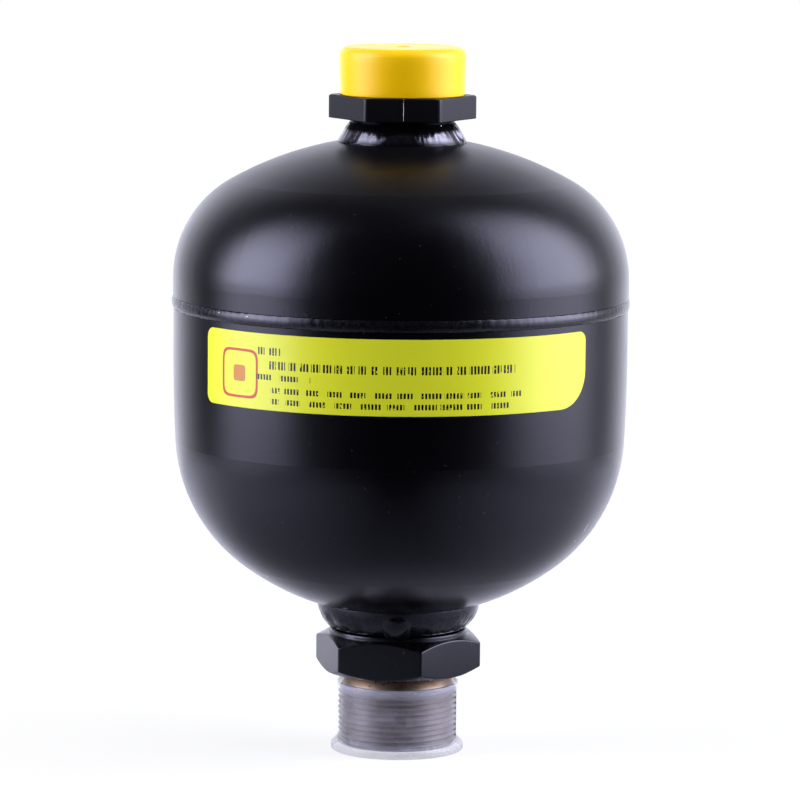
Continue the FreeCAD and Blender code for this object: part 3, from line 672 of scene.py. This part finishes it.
def hex_band(angles, width, turn, sharpness, face, low, high, slope, both=True):
    """Rows of a hexagon from its top face down: chamfered at the top or at both ends, its edges rounded."""
    around = hex_radius(angles, width, turn, sharpness)
    inner = np.minimum(face, around - LEAST_CHAMFER)
    drop = (around - inner) * slope
    soft = SOFT_EDGE
    rows = [
        (inner - soft, high),
        (inner + soft * 0.5, high - soft * 0.3),
        (around - soft, high - drop + soft * slope),
        (around - soft * 0.25, high - drop - soft * 0.3),
        (around, high - drop - soft * 1.3),
    ]
    middle = (low + high) / 2
    rows.append((around, np.full(len(angles), middle)))
    lower = drop if both else np.zeros(len(angles))
    rows += [
        (around, low + lower + soft * 1.3),
        (around - soft * 0.25, low + lower + soft * 0.3),
    ]
    if both:
        rows += [
            (around - soft, low + drop - soft * slope),
            (inner + soft * 0.5, low + soft * 0.3),
        ]
    rows.append((inner - soft, low))
    return rows


def make_port_hexagon():
    """The painted upper part of the fluid port: weld neck, rounded collar and the chamfered hexagon."""
    angles = hex_angles(PORT_HEX_TURN)
    rows = [
        (PORT_SPIGOT, PORT_WELD_HIGH - 4),
        (PORT_NECK + 0.6, PORT_WELD_LOW + 6),
        (PORT_NECK + 0.6, COLLAR_TOP + 0.25),
    ]
    collar = rounded([
        (PORT_NECK, COLLAR_TOP, 0),
        (COLLAR_RADIUS, COLLAR_TOP, 0.55),
        (COLLAR_RADIUS, PORT_HEX_TOP, 0.2),
        (COLLAR_RADIUS + 2, PORT_HEX_TOP, 0),
    ])
    rows += collar[1:-1]
    rows += hex_band(
        angles, PORT_HEX_WIDTH, PORT_HEX_TURN, PORT_HEX_SHARPNESS, PORT_HEX_FACE,
        PORT_HEX_BASE, PORT_HEX_TOP, PORT_CHAMFER,
    )
    rows.append((RELIEF_RADIUS + 0.2, PORT_HEX_BASE))
    rows.append((RELIEF_RADIUS - 1.5, PORT_HEX_BASE + 0.5))
    piece = skin("port_hexagon", rows, angles, closed=True)
    add_weighted_normals(piece)
    finish_piece(piece, "vessel", "black_paint", ["fluid_port_boss"], enamel_look)


# Pull of large faces on the shading, where 50 is even
FLAT_WEIGHT = 80


def add_weighted_normals(piece):
    """Keep flats flat in the shading, beside their small rounded edges."""
    modifier = piece.modifiers.new("flat_faces", "WEIGHTED_NORMAL")
    modifier.keep_sharp = True
    modifier.weight = FLAT_WEIGHT


# Points round the thread, pitch and depth of the M33 and M28 threads, and of the pipe thread in the bore
PORT_THREAD_COLUMNS = 128
METRIC_PITCH = 1.5
METRIC_DEPTH = 0.92
PIPE_PITCH = 1.814
PIPE_DEPTH = 1.0


def make_port_thread():
    """The bare steel of the fluid port: relief, M33 x 1.5 thread, end face, G 1/2 bore and passage."""
    angles = even_angles(PORT_THREAD_COLUMNS)
    rows = [
        (RELIEF_RADIUS - 2, PORT_HEX_BASE + 1),
        (RELIEF_RADIUS, PORT_HEX_BASE + 0.05),
        (RELIEF_RADIUS, THREAD_TOP + 0.35),
        (RELIEF_RADIUS + 0.12, THREAD_TOP + 0.15),
    ]
    male = thread_rows(PORT_END, THREAD_TOP, THREAD_CREST, METRIC_DEPTH, METRIC_PITCH, angles, 1.1)
    rows += male[::-1]
    rows += [
        (THREAD_CREST - 1.15, PORT_END),
        (PORT_BORE + 1.3, PORT_END),
        (PORT_BORE + 1.1, PORT_END + 0.1),
    ]
    bore_top = PORT_END + BORE_DEPTH
    rows += thread_rows(
        PORT_END + 0.2, bore_top - 2, PORT_BORE, -PIPE_DEPTH, PIPE_PITCH, angles, 1.0, outside=False,
    )
    rows += [
        (PORT_BORE, bore_top - 1.9),
        (PORT_BORE, bore_top),
        (PORT_PASSAGE, bore_top + 2),
        (PORT_PASSAGE, PORT_SEAT - 1.5),
        (PORT_PASSAGE + 1.5, PORT_SEAT),
        (PORT_SPIGOT - 1, PORT_SEAT),
        (PORT_SPIGOT, PORT_SEAT - 1),
        (PORT_SPIGOT, PORT_WELD_HIGH - 4),
    ]
    piece = skin("port_thread", rows, angles, closed=True)
    finish_piece(piece, "vessel", "port_steel", ["fluid_port_boss"], port_steel_look)


# Points round the weld and down it, how far it swells, its lip's height over the solid's lower edge,
# and the angle, size, bulge and sag of the drop
PORT_WELD_COLUMNS = 540
PORT_WELD_STEPS = 24
PORT_WELD_SWELL = 0.75
LIP_RISE = 0.8
DROP_ANGLE = -91.0
DROP_REACH = 3.4
DROP_BULGE = 0.75
DROP_SAG = 1.5


def make_port_weld():
    """The hand-laid weld under the lower cup: a full flare with a ragged lower lip and one round drop."""
    angles = even_angles(PORT_WELD_COLUMNS)
    aside = np.radians((np.degrees(angles) - DROP_ANGLE + 180) % 360 - 180) * COLLAR_RADIUS
    sag = np.clip(1 - (aside / DROP_REACH)**2, 0, 1)**0.5
    ragged = 0.4 * wander(angles, 0, 5.0, 3.1) + 0.22 * wander(angles, 0, 1.8, 8.4)
    lip = PORT_WELD_LOW + LIP_RISE + ragged * (1 - sag) - DROP_SAG * sag
    foot = COLLAR_RADIUS + 0.15
    rows = [(PORT_NECK, lip + 1.2), (foot - 1.0, lip + 0.35), (foot - 0.35, lip + 0.05)]
    for step in range(PORT_WELD_STEPS + 1):
        share = step / PORT_WELD_STEPS
        radius = foot + (PORT_WELD_TOE - foot) * share + PORT_WELD_SWELL * math.sin(math.pi * share)**0.9
        level = lip * (1 - share) + (PORT_WELD_HIGH + 0.15) * share
        lumps = 0.2 * wander(angles, share * 8, 4.5, 5.0) + 0.07 * wander(angles, share * 8, 1.6, 2.0)
        off = np.hypot(aside, level - (lip + DROP_REACH)) / DROP_REACH
        bulge = DROP_BULGE * np.clip(1 - off**2, 0, 1)
        rows.append((radius + lumps * math.sin(math.pi * min(1, share + 0.1)) + bulge, level))
    rows.append((PORT_WELD_TOE - 0.2, PORT_WELD_HIGH + 0.35))
    rows.append((PORT_WELD_TOE - 2.5, PORT_WELD_HIGH + 0.6))
    piece = skin("port_weld_bead", rows, angles, closed=True)
    finish_piece(piece, "vessel", "black_paint", ["fluid_port_weld"], bead_enamel_look)


# Points round the clear cap, its play over the thread, its wall, and how far it is out of round
CAP_COLUMNS = 160
CAP_PLAY = 0.1
CAP_WALL = 0.5
CAP_SWAY = 0.12


def make_clear_cap():
    """The thin clear cap: a cup with a wider foot flange, slightly out of round."""
    angles = even_angles(CAP_COLUMNS)
    inner = THREAD_CREST + CAP_PLAY
    outer = inner + CAP_WALL
    outline = rounded([
        (0.0, CAP_FOOT, 0),
        (CAP_FLANGE, CAP_FOOT, 0.5),
        (CAP_FLANGE, CAP_FOOT + CAP_FLANGE_HEIGHT, 0.5),
        (outer, CAP_FOOT + CAP_SHOULDER, 0.6),
        (outer - 0.1, CAP_RIM, 0.12),
        (inner + 0.05, CAP_RIM, 0.12),
        (inner, PORT_END + 0.05, 0.3),
        (0.0, PORT_END + 0.05, 0),
    ], step=1.2)
    rows = []
    for radius, level in outline:
        sway = CAP_SWAY * wander(angles, level, 9.0, 4.0) if radius > inner - 0.2 else 0.0
        rows.append((radius + np.maximum(sway, 0), level))
    piece = skin("clear_cap", rows, angles)
    finish_piece(piece, "port_cap", "clear_cap", ["port_thread_cap"], clear_look)


# Gas port

def make_gas_hexagon():
    """The painted lower part of the gas port: neck and the thin hexagon with rounded corners."""
    angles = hex_angles(0.0)
    rows = [
        (GAS_THREAD_CREST - 2.0, GAS_HEX_TOP - 0.5),
        (GAS_THREAD_ROOT, GAS_HEX_TOP),
    ]
    rows += hex_band(
        angles, GAS_HEX_WIDTH, 0.0, GAS_HEX_SHARPNESS, GAS_HEX_FACE,
        GAS_HEX_BASE, GAS_HEX_TOP, GAS_CHAMFER, both=False,
    )
    rows += [
        (GAS_NECK + 0.3, GAS_HEX_BASE),
        (GAS_NECK, GAS_HEX_BASE - 0.3),
        (GAS_NECK, GAS_WELD_LOW - 1.5),
        (GAS_NECK - 2, GAS_WELD_LOW - 1.5),
    ]
    neck_rows = 4
    paint = [0] * (len(rows) - neck_rows) + [1] * neck_rows
    piece = skin("gas_hexagon", rows, angles, closed=True, paint=paint)
    add_weighted_normals(piece)
    finish_piece(piece, "vessel", "black_paint", ["gas_port_boss"], thin_enamel_look, thick_enamel_look)


# Points round the gas stub, its bores below the counterbore, and its spigot
STUB_COLUMNS = 120
SCREW_BORE = 4.05
SCREW_BORE_DEPTH = 13
SCREW_CONE_DEPTH = 13.9
GAS_PASSAGE = 2.5
GAS_SPIGOT = 12.0


def make_gas_stub():
    """The threaded stub under the yellow cap, with its counterbore, and the bore down through the spigot."""
    angles = even_angles(STUB_COLUMNS)
    start = GAS_HEX_TOP + 1.5
    rows = [
        (GAS_THREAD_CREST - 2.2, GAS_HEX_TOP - 0.5),
        (GAS_THREAD_ROOT, GAS_HEX_TOP),
        (GAS_THREAD_ROOT, start),
    ]
    male = thread_rows(-GAS_TOP, -start, GAS_THREAD_CREST, METRIC_DEPTH, METRIC_PITCH, angles, 1.0)
    rows += [(radius, -level) for radius, level in male[::-1]]
    floor = GAS_TOP - COUNTERBORE_DEPTH
    rows += [
        (GAS_THREAD_CREST - 1.0, GAS_TOP),
        (GAS_COUNTERBORE + 0.3, GAS_TOP),
        (GAS_COUNTERBORE, GAS_TOP - 0.3),
        (GAS_COUNTERBORE, floor),
        (SCREW_BORE, floor),
        (SCREW_BORE, floor - SCREW_BORE_DEPTH),
        (GAS_PASSAGE, floor - SCREW_CONE_DEPTH),
        (GAS_PASSAGE, GAS_END),
        (GAS_SPIGOT - 1, GAS_END),
        (GAS_SPIGOT, GAS_END + 1),
        (GAS_SPIGOT, GAS_WELD_LOW - 1.5),
    ]
    piece = skin("gas_stub", rows, angles, closed=True)
    finish_piece(piece, "vessel", "port_steel", ["gas_port_boss"], stub_steel_look)


GAS_WELD_COLUMNS = 480
GAS_WELD_STEPS = 18

# The crater: its angle, the weld's radius there, its height over the toe, its two half sizes, the depth
# and width of its pit, and the height, place and width of its lip
CRATER_ANGLE = -22.0
CRATER_RADIUS = 16.5
CRATER_HEIGHT = 2.6
CRATER_HALF_WIDTH = 1.5
CRATER_HALF_HEIGHT = 1.9
CRATER_DEPTH = 0.55
CRATER_WIDTH = 0.75
LIP_HEIGHT = 0.35
LIP_PLACE = 1.15
LIP_WIDTH = 0.28


def make_gas_weld():
    """The hollow weld round the gas port's neck: fine upright wrinkles and one small crater on the right."""
    angles = even_angles(GAS_WELD_COLUMNS)
    away = ((np.degrees(angles) - CRATER_ANGLE + 180) % 360 - 180) * math.radians(1) * CRATER_RADIUS
    rows = [(GAS_NECK - 1.0, GAS_WELD_HIGH - 0.2)]
    for step in range(GAS_WELD_STEPS + 1):
        share = step / GAS_WELD_STEPS
        radius = GAS_NECK + 0.05 + (GAS_WELD_TOE - GAS_NECK - 0.1) * (1 - (1 - share)**1.2)
        level = GAS_WELD_HIGH + (GAS_WELD_LOW - 0.1 - GAS_WELD_HIGH) * share
        wrinkles = 0.06 * wander(angles, share * 2.0, 1.1, 7.0) + 0.12 * wander(angles, share * 5, 3.2, 1.0)
        fade = math.sin(math.pi * min(1, share + 0.1))
        dip = np.hypot(away / CRATER_HALF_WIDTH, (level - GAS_WELD_LOW - CRATER_HEIGHT) / CRATER_HALF_HEIGHT)
        crater = -CRATER_DEPTH * np.exp(-(dip / CRATER_WIDTH)**2)
        crater = crater + LIP_HEIGHT * np.exp(-((dip - LIP_PLACE) / LIP_WIDTH)**2)
        rows.append((radius + wrinkles * fade + crater, level + 0.25 * wander(angles, 3, 4, 2) * share))
    rows.append((GAS_WELD_TOE - 1.5, GAS_WELD_LOW - 0.8))
    piece = skin("gas_weld_bead", rows, angles, closed=True)
    finish_piece(piece, "vessel", "black_paint", ["gas_port_weld"], thick_enamel_look)


# Points round the yellow cap, its wall, roof and draft, the ribs' spacing and half width in degrees,
# and the number of rows down its inner wall
YELLOW_COLUMNS = 144
YELLOW_WALL = 1.5
YELLOW_ROOF = 1.6
YELLOW_DRAFT = 0.25
RIB_SPACING = 30
RIB_HALF_ANGLE = 2.6
INNER_WALL_ROWS = 14


def make_yellow_cap():
    """The push-on cap: drafted wall, soft roof edge, a sprue mark in the middle and grip ribs inside."""
    angles = even_angles(YELLOW_COLUMNS)
    roof = YELLOW_HIGH - YELLOW_ROOF
    grip = GAS_THREAD_CREST + 0.1
    half_way = RIB_SPACING / 2
    rib = np.abs((np.degrees(angles) + half_way) % RIB_SPACING - half_way) < RIB_HALF_ANGLE
    inner = YELLOW_RADIUS - YELLOW_WALL
    outline = rounded([
        (0.0, roof, 0),
        (inner, roof, 0.6),
        (inner - YELLOW_DRAFT, YELLOW_LOW, 0.3),
        (YELLOW_RADIUS - YELLOW_DRAFT, YELLOW_LOW, 0.35),
        (YELLOW_RADIUS, YELLOW_HIGH, 2.3),
        (2.0, YELLOW_HIGH, 0.25),
        (1.7, YELLOW_HIGH - 0.35, 0.2),
        (0.0, YELLOW_HIGH - 0.35, 0),
    ], step=2.0)
    rows = []
    for index, (radius, level) in enumerate(outline):
        inside = 0 < index < INNER_WALL_ROWS and abs(radius - inner) < 0.9 and level > YELLOW_LOW + 0.5
        ribbed = np.where(rib & inside & (level > YELLOW_LOW + 2), grip, radius)
        rows.append((ribbed, level))
    piece = skin("yellow_cap", rows, angles)
    finish_piece(piece, "gas_cap", "yellow_cap", ["gas_port_cap"], yellow_look)


# Inside the vessel

def make_diaphragm():
    """The rubber cup, dressed as a copy of its solid."""
    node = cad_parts["diaphragm"]
    mesh = node.data.copy()
    mesh.name = "rubber_diaphragm"
    mesh.materials.clear()
    piece = bpy.data.objects.new("rubber_diaphragm", mesh)
    bpy.context.scene.collection.objects.link(piece)
    mesh.materials.append(rubber_look)
    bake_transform(piece)
    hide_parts("diaphragm")


# Stage

# Tones of the table top: as the camera sees it, and in reflections at the sides and behind, far in front
# and close in front
FLOOR_COLUMNS = 96
FLOOR_RADIUS = 0.4
FLOOR_SEEN = "#F6F6F8"
FLOOR_REFLECTED = "#F2F2F6"
FLOOR_FRONT_DARK = "#1A1A1C"
FLOOR_FRONT_PALE = "#84848A"

# Two distances in metres between which the table top changes, and its share at the first and second
WHITE_RAMP = (0.03, FLOOR_RADIUS * 0.35, 0.8, 1.0)
FRONT_RAMP = (-0.22, -0.02, 0.0, 1.0)
BACK_RAMP = (-0.06, 0.12, 0.0, 1.0)
SIDE_RAMP = (0.02, 0.15, 0.0, 0.9)
NEAR_RAMP = (-0.32, -0.05, 0.0, 1.0)


def make_stage():
    """A round white table top, seen pure white beyond the object's shadow.

    Reflections see it nearly black in front, and pale at the sides and behind.
    """
    angles = even_angles(FLOOR_COLUMNS)
    floor = skin("floor", [(0.0, 0.0), (FLOOR_RADIUS / MM, 0.0)], angles)

    material, tree, shader = new_material("white_floor", Roughness=0.9, Specular_IOR_Level=0.0)
    seen = add_node(tree, "LightPath")["Is Camera Ray"]
    place = add_node(tree, "NewGeometry")["Position"]
    far = add_node(tree, "VectorMath", (place,), operation="LENGTH")["Value"]
    white_share = add_node(tree, "MapRange", (far, *WHITE_RAMP))[0]
    factor = add_node(tree, "Math", (seen, white_share), operation="MULTIPLY")[0]
    across, depth, _ = add_node(tree, "SeparateXYZ", (place,))
    aside = add_node(tree, "Math", (across,), operation="ABSOLUTE")[0]
    ahead = add_node(tree, "MapRange", (depth, *FRONT_RAMP))[0]
    front = add_node(tree, "MixRGB", (ahead, linear(FLOOR_FRONT_DARK), linear(FLOOR_FRONT_PALE)))[0]
    back = add_node(tree, "MapRange", (depth, *BACK_RAMP))[0]
    side = add_node(tree, "MapRange", (aside, *SIDE_RAMP))[0]
    near = add_node(tree, "MapRange", (depth, *NEAR_RAMP))[0]
    side = add_node(tree, "Math", (side, near), operation="MULTIPLY")[0]
    bright = add_node(tree, "Math", (back, side), operation="MAXIMUM")[0]
    table = add_node(tree, "MixRGB", (bright, front, linear(FLOOR_REFLECTED)))[0]
    tone = add_node(tree, "MixRGB", (seen, table, linear(FLOOR_SEEN)))[0]
    tree.links.new(tone, shader.inputs["Base Color"])
    glow = add_node(tree, "Emission", {"Color": linear("#FFFFFF"), "Strength": 1.0})[0]
    surface = add_node(tree, "MixShader", (factor, shader.outputs[0], glow))[0]
    tree.links.new(surface, tree.nodes["Material Output"].inputs["Surface"])
    floor.data.materials.append(material)


# Light of the room by direction: four azimuths in degrees from the camera's side, where a panel starts,
# is full, begins to fade and ends; the two elevations between which it fades out; its strength
LEFT_PANEL = (46, 70, 88, 111, 21, 67, 10.0)
RIGHT_PANEL = (44, 79, 95, 126, 30, 82, 9.6)

# Two directions in degrees between which a light changes, and its share or strength at the first and second
ABOVE_HORIZON = (-3.0, 2.5, 0.36, 1.0)
BELOW_HORIZON = (-34, -4, 0.1, 1.0)
WHITE_ROOM = (108, 160, 0.0, 1.85)
WHITE_ROOM_RISE = (5, 62, 1.0, 0.06)
CEILING = (35, 85, 0.004, 0.06)
SOFT_STEP = {"interpolation_type": "SMOOTHSTEP"}


def panel_light(tree, turn, rise, near_start, near_full, far_full, far_end, top_start, top_end, strength):
    """Strength of a panel's light, by the azimuth towards its side and the elevation."""
    near = add_node(tree, "MapRange", (turn, near_start, near_full, 0.0, 1.0), **SOFT_STEP)[0]
    far = add_node(tree, "MapRange", (turn, far_full, far_end, 1.0, 0.0), **SOFT_STEP)[0]
    top = add_node(tree, "MapRange", (rise, top_start, top_end, strength, 0.0), **SOFT_STEP)[0]
    inside = add_node(tree, "Math", (near, far), operation="MULTIPLY")[0]
    return add_node(tree, "Math", (inside, top), operation="MULTIPLY")[0]


def light_room():
    """A white room lit by two broad soft panels at the sides, and dark behind the camera."""
    world = bpy.data.worlds.new("studio")
    bpy.context.scene.world = world
    world.use_nodes = True
    tree = world.node_tree
    tree.nodes.clear()

    x, y, z = add_node(tree, "SeparateXYZ", (add_node(tree, "TexCoord")["Generated"],))
    towards = add_node(tree, "Math", (y, -1.0), operation="MULTIPLY")[0]
    azimuth = add_node(tree, "Math", (x, towards), operation="ARCTAN2")[0]
    azimuth = add_node(tree, "Math", (azimuth,), operation="DEGREES")[0]
    rise = add_node(tree, "Math", (z,), operation="ARCSINE")[0]
    rise = add_node(tree, "Math", (rise,), operation="DEGREES")[0]

    leftwards = add_node(tree, "Math", (azimuth, -1.0), operation="MULTIPLY")[0]
    left = panel_light(tree, leftwards, rise, *LEFT_PANEL)
    right = panel_light(tree, azimuth, rise, *RIGHT_PANEL)
    panels = add_node(tree, "Math", (left, right), operation="ADD")[0]
    for horizon in (ABOVE_HORIZON, BELOW_HORIZON):
        share = add_node(tree, "MapRange", (rise, *horizon), **SOFT_STEP)[0]
        panels = add_node(tree, "Math", (panels, share), operation="MULTIPLY")[0]

    turned_away = add_node(tree, "Math", (azimuth,), operation="ABSOLUTE")[0]
    behind = add_node(tree, "MapRange", (turned_away, *WHITE_ROOM), **SOFT_STEP)[0]
    share = add_node(tree, "MapRange", (rise, *WHITE_ROOM_RISE), **SOFT_STEP)[0]
    behind = add_node(tree, "Math", (behind, share), operation="MULTIPLY")[0]
    ceiling = add_node(tree, "MapRange", (rise, *CEILING), **SOFT_STEP)[0]
    strength = add_node(tree, "Math", (panels, behind), operation="ADD")[0]
    strength = add_node(tree, "Math", (strength, ceiling), operation="ADD")[0]

    seen = add_node(tree, "LightPath")["Is Camera Ray"]
    strength = add_node(tree, "Mix", {0: seen, 2: strength, 3: 1.0})[0]
    tint = add_node(tree, "MixRGB", (seen, linear("#EDEFFF"), linear("#FFFFFF")))[0]
    light = add_node(tree, "Background", {"Color": tint, "Strength": strength})[0]
    add_node(tree, "OutputWorld", {"Surface": light})


CAMERA_HEIGHT = 98.0
CAMERA_DISTANCE = 1390.0
CAMERA_ELEVATION = 7.4
CAMERA_ROLL = 0.5
CAMERA_LENS = 225.5
CAMERA_SENSOR = 36.0
CAMERA_FARTHEST = 50


def make_camera():
    """The camera at the photograph's viewing angle."""
    data = bpy.data.cameras.new("camera")
    data.lens = CAMERA_LENS
    data.sensor_width = CAMERA_SENSOR
    data.clip_end = CAMERA_FARTHEST
    camera = bpy.data.objects.new("camera", data)
    rise = math.radians(CAMERA_ELEVATION)
    aim = Vector((0, 0, CAMERA_HEIGHT * MM))
    camera.location = aim + Vector((0, -math.cos(rise), math.sin(rise))) * CAMERA_DISTANCE * MM
    look = (aim - camera.location).to_track_quat("-Z", "Y")
    camera.rotation_euler = (look @ Quaternion((0, 0, 1), math.radians(CAMERA_ROLL))).to_euler()
    bpy.context.scene.collection.objects.link(camera)
    bpy.context.scene.camera = camera


def dress(node, material):
    """Give a CAD node its material."""
    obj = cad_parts[node]
    obj.data.materials.clear()
    obj.data.materials.append(material)


# Clear layers that a ray may pass
CLEAR_LAYERS = 24

enamel_look = black_enamel("black_stove_enamel", 0.21)
thin_enamel_look = black_enamel("thin_stove_enamel", 0.27)
port_steel_look = oiled_steel()
stub_steel_look = turned_steel("plain_turned_steel", "#A2A4A6", "#929290", 0.42)[0]
bead_enamel_look = weld_enamel("bead_enamel", 0.34, 0.2, 0.02)[0]
thick_enamel_look = gas_weld_enamel()
rubber_look = nitrile_rubber()
yellow_look = yellow_polythene()
clear_look = clear_polythene()
zinc_look = zinc_plated_steel()
film_look = printed_film()

make_girth_bead()
make_port_hexagon()
make_port_thread()
make_port_weld()
make_clear_cap()
make_gas_hexagon()
make_gas_stub()
make_gas_weld()
make_yellow_cap()
make_diaphragm()
dress("upper_shell", enamel_look)
dress("lower_shell", enamel_look)
dress("label", film_look)
dress("clamp_ring", stub_steel_look)
dress("closing_button", zinc_look)
dress("charging_screw", zinc_look)
dress("charging_screw_seal", rubber_look)
bpy.context.scene.view_settings.view_transform = "Standard"
bpy.context.scene.cycles.transparent_max_bounces = CLEAR_LAYERS
make_stage()
light_room()
make_camera()
